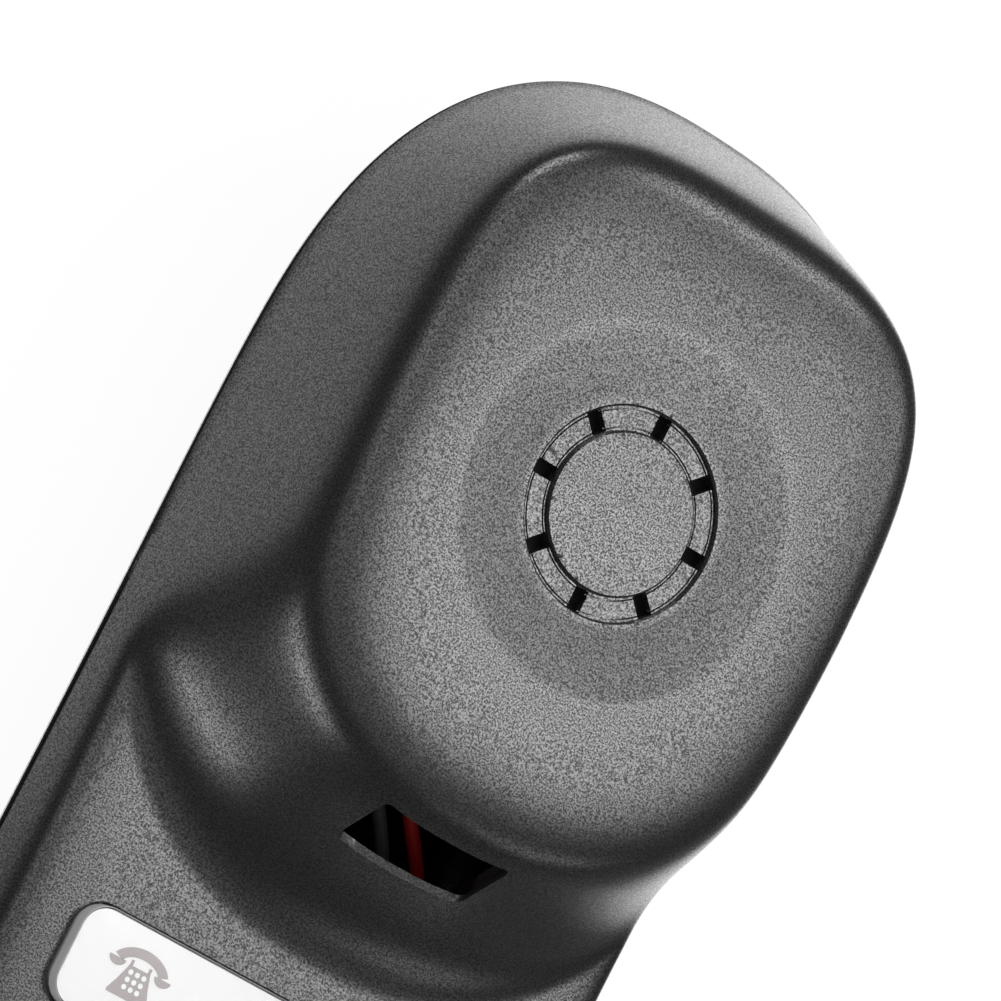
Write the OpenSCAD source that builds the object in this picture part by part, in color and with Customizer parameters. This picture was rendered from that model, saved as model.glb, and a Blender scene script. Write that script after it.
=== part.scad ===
// Corded telephone handset with the keypad in its grip, lying on its back.
// +Y points to the ear end, +Z out of the face, Z = 0 is the flat back.

/* [Housing] */
// Overall length of the handset
body_l = 205; // [198:1:215]
// Width across the ear end
ear_w = 54.4; // [53:0.2:58]
// Length of the rounded ear end, from the middle of the cup to the tip
ear_cap = 32.2; // [31:0.2:35]
// Height of the ear cup
ear_h = 34; // [33:0.5:38]
// Width across the middle of the grip
grip_w = 52.8; // [52:0.2:53.4]
// Height of the grip face
face_h = 18.5; // [18:0.25:20]
// Width across the mouth end
mouth_w = 53.6; // [53:0.2:57]
// Length of the rounded mouth end, from the middle of the mound to the tip
mouth_cap = 30.5; // [29:0.5:32]
// Height of the mouth mound
mouth_h = 26; // [25:0.25:26.5]
// Height of the parting line at the middle of the grip
part_mid = 12.9; // [12.5:0.1:13.5]
// Rise of the parting line from the middle to the two tips
part_rise = 6.7; // [6:0.1:7.2]
// Gap along the parting line
part_gap = 0.3; // [0.2:0.05:0.5]
// Wall thickness of both shells
wall = 2; // [1.8:0.1:2.2]

/* [Ear cup] */
// Inset of the cup's rim from the outline at the sides
rim_side = 4.2; // [4:0.1:5]
// Inset of the cup's rim from the outline at the tip
rim_tip = 6.4; // [6:0.1:8]
// Half width of the cup's mound, just outside its side walls
cup_a = 24.4; // [23.5:0.1:25.5]
// Half length of the cup's mound, to the edge over the hang slot
cup_b = 28.6; // [27.5:0.1:29.5]
// Distance of the sound ring behind the middle of the cup
ring_back = 0.8; // [0:0.1:2]
// Outer radius of the sound ring
ring_r = 8.4; // [8:0.1:9]
// Width of the sound ring's groove
ring_groove = 1.9; // [1.5:0.1:2.5]
// Depth of the sound ring's groove
ring_depth = 0.6; // [0.3:0.05:0.6]
// Number of sound slots
ring_slots = 8; // [6:1:12]
// Width of each sound slot
ring_slot_w = 1.25; // [1:0.05:1.5]
// Radius of the shallow dish round the sound ring
dish_r = 14.8; // [13:0.1:16]
// Depth of that dish at its middle
dish_depth = 0.6; // [0.3:0.05:0.7]

/* [Hang slot] */
// Width of the slot
hang_w = 12.2; // [10:0.1:14]
// Height of the slot's lower edge above the grip face
hang_up = 7.1; // [6.5:0.1:8]
// Height of the slot
hang_h = 5.4; // [5:0.1:5.6]

/* [Number window] */
// Distance from the middle of the ear cup to the window's top edge
window_back = 44.8; // [44:0.1:46]
// Width of the window
window_w = 39; // [34:0.2:40]
// Length of the window along the handset
window_l = 8.7; // [8:0.1:9.5]
// Corner radius of the window
window_r = 2.3; // [1.5:0.1:3]
// Height of the lens above the grip face
window_up = 1.3; // [0.8:0.1:1.5]
// Depth of the window's recess below the grip face
window_in = 1.5; // [1.2:0.1:1.7]
// Thickness of the number card
card_t = 0.3; // [0.2:0.05:0.4]
// Clearance round the lens
window_gap = 0.15; // [0.1:0.05:0.25]

/* [Keys] */
// Distance from the window to the middle of the first row of keys
key_back = 8.8; // [8.5:0.1:10]
// Distance from the middle of the mouth mound up to the function keys
func_up = 31; // [30:0.5:33]
// Distance from the side of the grip to the outer keys
key_side = 6.9; // [6.6:0.1:7.4]
// Space between the columns
key_col = 3; // [2.6:0.1:3.6]
// Space between the rows
key_row = 4.5; // [4:0.1:5.5]
// Length of a function key
func_l = 5; // [4.5:0.1:6]
// Corner radius of a key
key_r = 1.6; // [1:0.1:2]
// Height of a key above the grip face
key_up = 2.2; // [1.8:0.1:2.6]
// Depth of the dished key top
key_dish = 0.35; // [0.2:0.05:0.5]
// Clearance between a key and its opening
key_gap = 0.35; // [0.3:0.05:0.4]
// How far the flange under a key reaches past it
flange_out = 0.9; // [0.8:0.05:1]
// Thickness of that flange
flange_t = 1; // [0.8:0.1:1.2]
// Travel of a key
key_travel = 1.2; // [1:0.1:1.3]

/* [Board] */
// Distance from the side of the grip to the main board
board_side = 5.4; // [5.2:0.1:5.8]
// Thickness of the main board
board_t = 1.6; // [1.2:0.1:1.8]
// Distance from the inside of the grip face to the board
board_in = 5.1; // [5:0.1:5.4]
// Thickness of the keypad mat's sheet
mat_t = 1; // [0.8:0.1:1.2]

/* [Receiver and microphone] */
// Diameter of the receiver
receiver_d = 31; // [30:0.5:32]
// Height of the receiver
receiver_h = 9; // [8:0.25:10]
// Thickness of the foam ring in front of the receiver
gasket_t = 1; // [0.8:0.1:1.2]
// Diameter of the microphone
mic_d = 9.7; // [9:0.1:10]
// Height of the microphone
mic_h = 5.2; // [4.5:0.1:5.5]
// Thickness of the microphone's rubber boot
boot_t = 1.6; // [1.2:0.1:2]

/* [Cord jack] */
// Width of the jack's body
jack_w = 11.2; // [10.6:0.1:12]
// Height of the jack's body
jack_h = 11; // [10.6:0.1:11.4]
// Length of the jack's body
jack_l = 12.5; // [12:0.1:12.6]
// Width of the plug opening
plug_w = 8; // [7.8:0.1:8.2]
// Height of the plug opening
plug_h = 7; // [6.8:0.1:7.2]
// Depth of the plug opening
plug_l = 10.5; // [10:0.5:11]
// Distance of the jack's face from the mouth tip
jack_back = 6.6; // [6:0.1:7.5]

/* [Fasteners] */
// Shank diameter of the case screws
screw_d = 2.9; // [2.6:0.1:3]
// Head diameter of the case screws
screw_head_d = 5.4; // [5:0.1:5.8]
// Shank diameter of the small screws
small_d = 2; // [1.8:0.1:2.2]
// Clearance round shanks and heads
screw_gap = 0.15; // [0.1:0.05:0.25]

/* [Hidden] */
$fn = 48;

// Middles of the two ends and of the pieces that line up with them
ear_y = body_l / 2 - ear_cap;
mouth_y = mouth_cap - body_l / 2;
ring_y = ear_y - ring_back;
window_y = ear_y - window_back - window_l / 2;
key_y = window_y - window_l / 2 - key_back;
func_y = mouth_y + func_up;

// Keys fill the grip: three columns, four number rows and one function row
key_w = (grip_w - 2 * key_side - 2 * key_col) / 3;
key_dx = key_w + key_col;
func_space = key_row + 0.5;
key_dy = (key_y - func_y - func_space + (key_row - func_l) / 2) / 3.5;
key_l = key_dy - key_row;

// Form of the housing
end_n = 2.5;
rim_n = 3.3;
mound_n = 2.85;
neck_n = 2.4;
side_slope = 4.2;
end_slope = 2.1;
grip_slope = 4.3;
slope_in = 0.7;
cup_round = 4;
ear_edge = 3.4;
grip_edge = 2.4;
mouth_edge = 2.4;
neck_fillet = 12.5;
neck_side_fillet = 3.5;
mouth_fillet = 9;
hang_lip = 1;
hang_deep = 3;
neck_l = 50;
mouth_rim_side = 2.4;
mouth_rim_tip = 6.5;
mouth_a = mouth_w / 2 - 1.2;
mouth_b = 20;
mouth_tip_b = 31;
flank_slope = 1.6;
flank_end_slope = 2.5;
flank_fillet = 6;
belly_l = 96;
belly_rise = 7;
rear_land = 0.8;
lip_h = 0.8;
lip_t = 1;
lip_gap = 0.25;

// Sections of the housing: fan round the ear end, neck, grip, mouth neck, fan round the mouth end
ear_fan = 12;
neck_steps = 24;
grip_steps = 5;
mouth_steps = 8;
mouth_fan = 10;
outer_rows = [0, 0.4, 0.75, 1, 1.25, 1.6, 2.1];
outer_inside = [0.16, 0.33, 0.5, 0.67, 0.84];
inner_rows = [0, 0.5, 1, 1.4, 2];
inner_inside = [0.25, 0.5, 0.75];
belly_rows = [0.25, 0.5, 0.7, 0.85, 1, 1.15, 1.35];
belly_in_rows = [0.3, 0.6, 0.85, 1.1, 1.3];

// Heights inside, from the grip face down
face_in = face_h - wall;
flange_gap = 0.2;
flange_top = face_in - flange_gap;
board_top = face_in - board_in;
collar_top = flange_top - flange_t - key_travel - 0.2;
plunger_r = 2;
key_rim = 0.6;
plunger_gap = 0.4;
collar_t = 1;
plunger_z = board_top + key_travel + 0.3;
board_y1 = window_y + window_l / 2 + 1.5;
board_y0 = func_y - func_l / 2 - 8;
board_w = grip_w - 2 * board_side;
board_hole_x = board_w / 2 - 2.2;
board_hole_y1 = key_y + key_l / 2 + flange_out + 2.1;
board_hole_y0 = func_y - func_l / 2 - flange_out - 3;
board_post_r = 1.9;

// Case screws
boss_x = 12;
boss_y1 = board_y1 + 6.5;
boss_y0 = board_y0 - 5;
boss_z = 8;
boss_gap = 0.1;
seat_z = 6;
boss_r = 3;
screw_head_h = 2;
screw_l = 10;

// Receiver stack, hung from the inside of the cup
gasket_top = ear_h - wall - 0.4;
gasket_w = 2.5;
receiver_top = gasket_top - gasket_t;
receiver_bot = receiver_top - receiver_h;
pocket_gap = 0.3;
pocket_t = 1.2;
pocket_r = receiver_d / 2 + pocket_gap;
clamp_t = 1.5;
clamp_w = 9;
clamp_post_r = 2.3;
clamp_x = pocket_r + pocket_t + clamp_post_r - 0.5;
small_head_d = 2 * small_d;
small_head_h = 1.4;
small_thread = 3.5;

// Microphone stack, hung from the inside of the mouth mound
mic_y = mouth_y - 3;
boot_r = mic_d / 2 + boot_t + 0.1;
boot_top = mouth_h - wall - 0.5;
boot_h = mic_h + 1.2;
mic_slit_w = 1;
mic_slit_l = 6;
mic_slit_dx = 2.4;
mic_slits = 3;

// Cord jack in the mouth end of the rear shell
jack_y = jack_back - body_l / 2;
jack_z = belly_z(jack_y) + wall + 0.6;
plug_z = jack_z + (jack_h - plug_h) / 2;
ledge_t = 0.6;
jack_gap = 0.15;
contact_d = 0.5;
contact_dx = 1.27;

shell_colour = [0.2, 0.2, 0.205];
key_colour = [0.16, 0.16, 0.165];

function smooth_max(a, b, k) = (a + b + sqrt((a - b) * (a - b) + k * k)) / 2;
function smooth_min(a, b, k) = (a + b - sqrt((a - b) * (a - b) + k * k)) / 2;
// The larger of two heights, with a fillet that ends where they differ by k
function fillet_max(a, b, k) = max(a, b) + pow(max(k - abs(a - b), 0), 2) / (4 * k);
function ease(t) = let (u = min(max(t, 0), 1)) u * u * (3 - 2 * u);
function lerp(a, b, t) = a + (b - a) * t;
// Radius of an oval with half axes a and b and exponent n, along the direction (s, c)
function oval_r(s, c, a, b, n) = pow(pow(abs(s) / a, n) + pow(abs(c) / b, n), -1 / n);

// Half width of the outline between the two ends: a waist that swells to both ends
function half_w(y) =
    let (end = y > 0 ? ear_w : mouth_w, s = min(1, y > 0 ? y / ear_y : y / mouth_y))
    grip_w / 2 + (end - grip_w) / 2 * pow(s, 5.5) * (1 + 5.5 * (1 - s));
// Height of the arched parting line
function part_z(y) = part_mid + part_rise * pow(2 * y / body_l, 2);
// Height of the back: flat under the grip, curving up to both tips
function belly_z(y) = belly_rise * pow(max(abs(y) - belly_l / 2, 0) / (body_l / 2 - belly_l / 2), 2);

// The two rounded ends: middle, half width, cap length, rim insets, height
ear_end = [ear_y, ear_w / 2, ear_cap, rim_side, rim_tip, ear_h];
mouth_end = [mouth_y, mouth_w / 2, mouth_cap, mouth_rim_side, mouth_rim_tip, mouth_h];
ear_mound = [ear_y, cup_a, cup_b, ear_h, ear_cap + 2];
mouth_mound = [mouth_y, mouth_a, mouth_b, mouth_h, mouth_tip_b];

// Outline radius and wall width of an end, seen from its middle along (s, c)
function end_out(e, s, c) = oval_r(s, c, e[1], e[2], end_n);
function end_run(e, s, c) = end_out(e, s, c) - oval_r(s, c, e[1] - e[3], e[2] - e[4], rim_n);
function end_slope_at(e, s, c) =
    (e[5] - part_z(e[0] + end_out(e, s, c) * c)) / end_run(e, s, c);

// Steepness of the side wall along the grip
function wall_slope(y) =
    let (e = y > 0 ? ear_end : mouth_end, s = min(1, y / e[0]))
    lerp(grip_slope, end_slope_at(e, 1, 0), s);

// Height of the side wall over a point, t inside the outer face
function wall_z(x, y, t) =
    y <= ear_y && y >= mouth_y ? part_z(y) + (half_w(y) - t - abs(x)) * wall_slope(y)
    : let (e = y > 0 ? ear_end : mouth_end, d = y - e[0], r = norm([x, d]), s = x / r, c = d / r,
           out = end_out(e, s, c))
      part_z(e[0] + out * c) + (out - t - r) * end_slope_at(e, s, c);

// Height of a mound with an oval plan, rounded rim and sloping walls. The mounds are listed as
// middle, half width, half length to the grip, height, half length to the tip
function mound_z(x, y, m, t) =
    let (d = y - m[0], r = max(norm([x, d]), 0.01), s = x / r, c = sqrt(1 - s * s),
         to_tip = d * m[0] > 0, half_l = to_tip ? m[4] : m[2],
         rim = oval_r(s, c, m[1] - slope_in * t, half_l - slope_in * t, to_tip ? mound_n : neck_n),
         slope = lerp(end_slope, side_slope, pow(s, 8)))
    m[3] - t - smooth_max(0, (r - rim) * slope, cup_round);

// Height of the top: grip face, ear cup and mouth mound
function top_z(x, y, t) =
    let (side = pow(abs(x) / half_w(y), 3), k = lerp(neck_fillet, neck_side_fillet, side))
    fillet_max(fillet_max(face_h - t, mound_z(x, y, ear_mound, t), k),
        mound_z(x, y, mouth_mound, t), mouth_fillet);
function dish_z(x, y) = dish_depth * pow(max(0, 1 - pow(norm([x, y - ring_y]) / dish_r, 2)), 1.2);
function edge_at(y, t) =
    let (end = abs(y > 0 ? ear_y : mouth_y), k = y > 0 ? ear_edge : mouth_edge)
    lerp(grip_edge, k, ease((abs(y) - end + 26) / 16)) * (t == 0 ? 1 : 0.2);
// Outer face of the front shell at t = 0, its inner face at t = wall
function front_z(x, y, t) =
    smooth_min(wall_z(x, y, t), top_z(x, y, t), edge_at(y, t)) - (t == 0 ? dish_z(x, y) : 0);

// Height of the flank of the rear shell over a point
function flank_z(x, y, t) =
    y <= ear_y && y >= mouth_y ? part_z(y) - (half_w(y) - t - abs(x)) * flank_slope
    : let (e = y > 0 ? ear_end : mouth_end, d = y - e[0], r = norm([x, d]), s = x / r, c = d / r,
           out = end_out(e, s, c))
      part_z(e[0] + out * c) - (out - t - r) * lerp(flank_slope, flank_end_slope, c * c);
// Outer face of the rear shell at t = 0, its inner face at t = wall
function rear_z(x, y, t) =
    fillet_max(belly_z(y) + t, flank_z(x, y, t) - rear_land, flank_fillet);

// A section line: outline point, inner end on the middle line, wall run and wall slope
function fan_section(e, angle) =
    let (s = sin(angle), c = cos(angle) * sign(e[0]), out = end_out(e, s, c))
    [[s * out, e[0] + c * out], e[0], end_run(e, s, c), end_slope_at(e, s, c)];
function grip_section(y) =
    let (e = y > 0 ? ear_end : mouth_end, s = ease((abs(y) - abs(e[0]) + 30) / 24),
         run = lerp((face_h - part_mid) / grip_slope, end_run(e, 1, 0), s))
    [[half_w(y), y], y, run, wall_slope(y)];
right_sections = concat(
    [for (i = [0:ear_fan - 1]) fan_section(ear_end, 90 * i / ear_fan)],
    [for (i = [0:neck_steps - 1]) grip_section(ear_y - neck_l * i / neck_steps)],
    [for (i = [0:grip_steps - 1])
        grip_section(lerp(ear_y - neck_l, mouth_y + neck_l * 0.6, i / grip_steps))],
    [for (i = [0:mouth_steps]) grip_section(mouth_y + neck_l * 0.6 * (1 - i / mouth_steps))],
    [for (i = [1:mouth_fan]) fan_section(mouth_end, 90 * (1 - i / mouth_fan))]);
last = len(right_sections) - 1;
straight_1 = ear_fan;
straight_2 = ear_fan + neck_steps + grip_steps + mouth_steps;
around = 2 * last;

// Section and side for a step round the whole outline
function section_at(u) = u <= last ? right_sections[u] : right_sections[around - u];
function side_at(u) = u <= last ? 1 : -1;
// Point of a section, d inside the outline
function plan_point(u, d) =
    let (q = section_at(u), o = q[0], v = [0, q[1]] - o, p = o + v * d / norm(v))
    [side_at(u) * p[0], p[1]];
function section_l(u) = let (q = section_at(u)) norm([0, q[1]] - q[0]);
// Distances from the outline for one row of points: near the wall, then towards the middle line
function row_d(u, rows, inside, t, run) =
    let (near = [for (g = rows) t + g * run], deep = near[len(near) - 1])
    concat(near, [for (g = inside) lerp(deep, section_l(u), g)]);

// Faces of a skin of rows that run round the outline and close on the middle line
function row_faces(first, i) =
    [for (u = [0:around - 1]) let (v = (u + 1) % around, a = first + i * around, b = a + around)
        each [[a + u, a + v, b + v], [a + u, b + v, b + u]]];
function middle_index(u) =
    let (k = u <= last ? u : around - u) min(max(k, straight_1), straight_2) - straight_1;
function close_faces(row, middle) =
    [for (u = [0:around - 1]) let (v = (u + 1) % around, p = middle_index(u), q = middle_index(v))
        each concat([[row + u, row + v, middle + p]],
            p == q ? [] : [[row + v, middle + q, middle + p]])];
function turned(faces) = [for (f = faces) [f[0], f[2], f[1]]];
function middle_ys() = [for (k = [straight_1:straight_2]) right_sections[k][1]];

// A shell: an outer and an inner skin of rows, joined along their first rows
module shell(outer, outer_middle, inner, inner_middle, flip) {
    n = len(outer);
    m = len(inner);
    mid_1 = n * around;
    in_1 = mid_1 + len(outer_middle);
    mid_2 = in_1 + m * around;
    outer_faces = concat([for (i = [0:n - 2]) each row_faces(0, i)],
        close_faces((n - 1) * around, mid_1));
    inner_faces = concat([for (i = [0:m - 2]) each row_faces(in_1, i)],
        close_faces(in_1 + (m - 1) * around, mid_2));
    rim_faces = [for (u = [0:around - 1]) let (v = (u + 1) % around)
        each [[u, in_1 + u, in_1 + v], [u, in_1 + v, v]]];
    faces = concat(outer_faces, turned(inner_faces), rim_faces);
    polyhedron(concat([for (r = outer) each r], outer_middle, [for (r = inner) each r], inner_middle),
        flip ? turned(faces) : faces, convexity = 8);
}

function front_rows(rows, inside, t) =
    [for (i = [0:len(rows) + len(inside) - 1]) [for (u = [0:around - 1])
        let (q = section_at(u), p = plan_point(u, row_d(u, rows, inside, t, q[2])[i]))
        [p[0], p[1], i == 0 ? part_z(q[0][1]) : front_z(p[0], p[1], t)]]];
module front_skin() {
    shell(front_rows(outer_rows, outer_inside, 0), [for (y = middle_ys()) [0, y, front_z(0, y, 0)]],
        front_rows(inner_rows, inner_inside, wall), [for (y = middle_ys()) [0, y, front_z(0, y, wall)]],
        false);
}

// Rim of the rear shell: a land, then the flank outside, and a lip inside the front shell
function lip_in(u) = wall + lip_gap + lip_h / section_at(u)[3];
function rim_row(d, dz) = [for (u = [0:around - 1])
    let (p = plan_point(u, d >= 0 ? d : lip_in(u) - 1 - d))
    [p[0], p[1], part_z(section_at(u)[0][1]) + dz]];
function flank_run(u) = let (y = section_at(u)[0][1]) (part_z(y) - belly_z(y)) / flank_slope;
function rear_rows(rows, inset, t) =
    [for (i = [0:len(rows) - 1]) [for (u = [0:around - 1])
        let (p = plan_point(u, row_d(u, rows, [], inset, flank_run(u))[i]))
        [p[0], p[1], rear_z(p[0], p[1], t)]]];
module rear_skin() {
    outer = concat([rim_row(0, -part_gap), rim_row(0.05, -part_gap - rear_land)],
        rear_rows(belly_rows, 0, 0));
    inner = concat([rim_row(-1, -part_gap), rim_row(-1, lip_h), rim_row(-1 - lip_t, lip_h),
        rim_row(-1 - lip_t, -part_gap - rear_land)], rear_rows(belly_in_rows, lip_t + wall, wall));
    shell(outer, [for (y = middle_ys()) [0, y, rear_z(0, y, 0)]],
        inner, [for (y = middle_ys()) [0, y, rear_z(0, y, wall)]], true);
}

// Rounded rectangle, standing on z = 0
module slab(w, l, h, corner) {
    r = min(corner, 0.45 * w, 0.45 * l);
    linear_extrude(h) {
        square([w - 2 * r, l], center = true);
        square([w, l - 2 * r], center = true);
        for (x = [-1, 1], y = [-1, 1]) translate([x * (w / 2 - r), y * (l / 2 - r)]) circle(r);
    }
}
module at_pairs(x, ys) {
    for (s = [-1, 1], y = ys) translate([s * x, y, 0]) children();
}
module disc(r, z0, z1) {
    translate([0, 0, z0]) cylinder(r = r, h = z1 - z0);
}

// Places of the number keys, in reading order from key 1, and of the function keys
function number_at(i) = [(i % 3 - 1) * key_dx, key_y - floor(i / 3) * key_dy];
function func_at(i) = [(i - 1) * key_dx, func_y];
module at_keys() {
    for (i = [0:11]) translate(number_at(i)) children(0);
    for (i = [0:2]) translate(func_at(i)) children(1);
}
module key_opening(l) {
    translate([0, 0, face_in - 1])
        slab(key_w + 2 * key_gap, l + 2 * key_gap, wall + 2, key_r + key_gap);
}

// Slots, groove and openings cut into the front shell
module sound_slots() {
    translate([0, ring_y, 0]) {
        difference() {
            disc(ring_r, ear_h - dish_depth - ring_depth, ear_h + 1);
            disc(ring_r - ring_groove, 0, ear_h + 2);
        }
        for (i = [0:ring_slots - 1]) rotate(360 * i / ring_slots)
            translate([ring_r - ring_groove, -ring_slot_w / 2, ear_h - wall - 1])
                cube([ring_groove, ring_slot_w, wall + 1]);
    }
}
function cup_wall_y(z) = ear_y - cup_b - (ear_h - z) / end_slope;
module hang_cut() {
    low = face_h + hang_up;
    high = low + hang_h;
    back = ear_y - cup_b + hang_deep;
    translate([-hang_w / 2, cup_wall_y(low) - 3, low])
        cube([hang_w, back - cup_wall_y(low) + 3, hang_h]);
    // Thinner wall round the slot, cut from the inside
    rotate([90, 0, 90]) translate([0, 0, -hang_w / 2 - hang_lip])
        linear_extrude(hang_w + 2 * hang_lip)
            polygon([[cup_wall_y(low - hang_lip) + hang_lip, low - hang_lip],
                [cup_wall_y(high) + hang_lip, high], [back, high], [back, low - hang_lip]]);
}
module mic_cuts() {
    for (i = [0:mic_slits - 1])
        translate([(i - (mic_slits - 1) / 2) * mic_slit_dx - mic_slit_w / 2,
            mic_y - mic_slit_l / 2, mouth_h - wall - 1])
            cube([mic_slit_w, mic_slit_l, wall + 2]);
}

module front_shell() {
    color(shell_colour) difference() {
        union() {
            front_skin();
            for (y = [boss_y1, boss_y0]) at_pairs(boss_x, [y])
                disc(boss_r, boss_z + boss_gap, front_z(boss_x, y, wall) + 1);
            for (y = [board_hole_y1, board_hole_y0]) at_pairs(board_hole_x, [y])
                disc(board_post_r, board_top, front_z(board_hole_x, y, wall) + 1);
            translate([0, window_y, face_in - 1]) slab(window_w + 2, window_l + 2, 2, window_r);
            translate([0, ring_y, 0]) difference() {
                disc(pocket_r + pocket_t, receiver_bot, ear_h - wall + 0.5);
                disc(pocket_r, 0, gasket_top);
                disc(receiver_d / 2 - gasket_w, 0, ear_h);
            }
            translate([0, ring_y, 0]) at_pairs(clamp_x, [0])
                disc(clamp_post_r, receiver_bot, ear_h - wall + 0.3);
            translate([0, mic_y, 0]) difference() {
                disc(boot_r + pocket_gap + pocket_t, boot_top - boot_h + 1, mouth_h - wall + 0.5);
                disc(boot_r + pocket_gap, 0, boot_top);
                disc(mic_d / 2, 0, mouth_h);
            }
        }
        at_pairs(boss_x, [boss_y1, boss_y0])
            disc(screw_d / 2 + 0.05, boss_z - 1, seat_z + screw_l + 0.5);
        at_pairs(board_hole_x, [board_hole_y1, board_hole_y0])
            disc(small_d / 2 + 0.05, board_top - 1, board_top + small_thread + 0.5);
        translate([0, ring_y, 0]) at_pairs(clamp_x, [0])
            disc(small_d / 2 + 0.05, receiver_bot - 1, receiver_bot + small_thread + 0.5);
        translate([0, window_y, face_h - window_in]) slab(window_w, window_l, window_in + 1, window_r);
        at_keys() {
            key_opening(key_l);
            key_opening(func_l);
        }
        sound_slots();
        hang_cut();
        mic_cuts();
    }
}

module rear_shell() {
    color(shell_colour) difference() {
        union() {
            rear_skin();
            at_pairs(boss_x, [boss_y1, boss_y0]) disc(screw_head_d / 2 + 1.6, wall / 2, boss_z);
            jack_holder();
        }
        at_pairs(boss_x, [boss_y1, boss_y0]) {
            disc(screw_head_d / 2 + screw_gap, -1, seat_z);
            disc(screw_d / 2 + screw_gap, 0, boss_z + 1);
        }
        // Notch in the tip that the jack slides into
        translate([-jack_w / 2 - jack_gap, -body_l / 2 - 1, jack_z])
            cube([jack_w + 2 * jack_gap, 1 + jack_back + jack_l + jack_gap, ear_h]);
    }
}
// Ledge and side ribs that hold the jack
module jack_holder() {
    rib = 1.2;
    out = jack_w / 2 + jack_gap + rib;
    translate([-out, jack_y, jack_z - ledge_t]) cube([2 * out, jack_l, ledge_t + jack_h / 2]);
    foot = belly_z(jack_y + jack_l) + wall / 2;
    for (s = [-1, 1]) translate([s * (out - rib / 2) - rib / 2, jack_y + jack_l - rib, foot])
        cube([rib, rib, jack_z - foot]);
}

module number_window() {
    w = window_w - 2 * window_gap;
    l = window_l - 2 * window_gap;
    r = window_r - window_gap;
    bevel = 0.4;
    bottom = face_h - window_in + card_t;
    top = face_h + window_up;
    color([0.85, 0.88, 0.9, 0.5]) translate([0, window_y, bottom]) {
        slab(w, l, top - bottom - bevel, r);
        translate([0, 0, top - bottom - bevel]) slab(w - bevel, l - bevel, bevel, r - bevel / 2);
    }
}
module number_card() {
    color("white") translate([0, window_y, face_h - window_in])
        slab(window_w - 4 * window_gap, window_l - 4 * window_gap, card_t, window_r - 2 * window_gap);
}

// A key: dished cap, flange under the shell and plunger over the board
module key(l) {
    top = face_h + key_up;
    dish_w = key_w - 2 * (key_r + key_rim);
    dish_radius = (dish_w * dish_w / 4 + key_dish * key_dish) / (2 * key_dish);
    color(key_colour) difference() {
        union() {
            translate([0, 0, flange_top - flange_t / 2])
                slab(key_w, l, top - flange_top + flange_t / 2, key_r);
            translate([0, 0, flange_top - flange_t])
                slab(key_w + 2 * flange_out, l + 2 * flange_out, flange_t, key_r);
            disc(plunger_r, plunger_z, flange_top);
        }
        translate([0, 0, top + dish_radius - key_dish]) rotate([90, 0, 0])
            cylinder(r = dish_radius, h = 2 * l, center = true, $fn = 96);
    }
}
module number_key(i) { translate(number_at(i)) key(key_l); }
module func_key(i) { translate(func_at(i)) key(func_l); }

// Silicone sheet with a collar round each plunger
module keypad_mat() {
    x = key_dx + key_w / 2 + flange_out;
    y1 = key_y + key_l / 2 + flange_out;
    y0 = func_y - func_l / 2 - flange_out;
    color([0.75, 0.75, 0.72]) difference() {
        union() {
            translate([0, (y0 + y1) / 2, board_top]) slab(2 * x, y1 - y0, mat_t, 2);
            at_keys() {
                disc(plunger_r + plunger_gap + collar_t, board_top, collar_top);
                disc(plunger_r + plunger_gap + collar_t, board_top, collar_top);
            }
        }
        at_keys() {
            disc(plunger_r + plunger_gap, 0, collar_top + 1);
            disc(plunger_r + plunger_gap, 0, collar_top + 1);
        }
    }
}

module main_board() {
    color([0.1, 0.35, 0.2]) difference() {
        translate([0, (board_y0 + board_y1) / 2, board_top - board_t])
            slab(board_w, board_y1 - board_y0, board_t, 2);
        at_pairs(board_hole_x, [board_hole_y1, board_hole_y0])
            disc(small_d / 2 + screw_gap, 0, face_h);
    }
}

// Parts soldered under the board
board_bot = board_top - board_t;
chip_up = 14;
chip_y = func_y + chip_up;
chip_w = 6.4;
chip_l = 22;
chip_h = 3.2;
chip_off = 0.5;
pin_pitch = 2.54;
pin_n = 8;
module dialler_chip() {
    color([0.12, 0.12, 0.12]) translate([0, chip_y, board_bot]) {
        translate([-chip_w / 2, -chip_l / 2, -chip_off - chip_h]) cube([chip_w, chip_l, chip_h]);
        for (s = [-1, 1], i = [0:pin_n - 1])
            translate([s * (chip_w / 2 + 0.4) - 0.45, (i - (pin_n - 1) / 2) * pin_pitch - 0.25, -2.2])
                cube([0.9, 0.5, 2.2]);
    }
}
cap_d = 5;
cap_h = 7;
cap_x = 12;
cap_dy = 9;
module capacitors() {
    color([0.15, 0.2, 0.4]) for (i = [0:2])
        translate([cap_x, chip_y + (i - 1) * cap_dy, board_bot - cap_h]) {
            cylinder(d = cap_d, h = cap_h - 0.8);
            cylinder(d = cap_d - 0.8, h = cap_h);
        }
}
crystal_h = 3.5;
module crystal() {
    color("silver") translate([-cap_x, chip_y, board_bot - crystal_h]) slab(4.6, 11, crystal_h, 2.2);
}

// Receiver capsule: stepped can with a flat back and two solder tabs
module receiver() {
    r = receiver_d / 2;
    color([0.25, 0.25, 0.27]) translate([0, ring_y, receiver_bot]) {
        rotate_extrude() polygon([[0, 1.2], [r * 0.45, 1.2], [r * 0.5, 0], [r, 0], [r, receiver_h],
            [r - 2, receiver_h], [r - 3, receiver_h - 0.8], [0, receiver_h - 0.8]]);
        for (s = [-1, 1]) translate([s * tab_x - 1, -r * tab_in, -tab_t]) cube([2, tab_l, tab_t]);
    }
}
module receiver_gasket() {
    r = receiver_d / 2;
    color([0.12, 0.12, 0.12]) translate([0, ring_y, 0]) difference() {
        disc(r, receiver_top, gasket_top);
        disc(r - gasket_w, 0, ear_h);
    }
}
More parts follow.
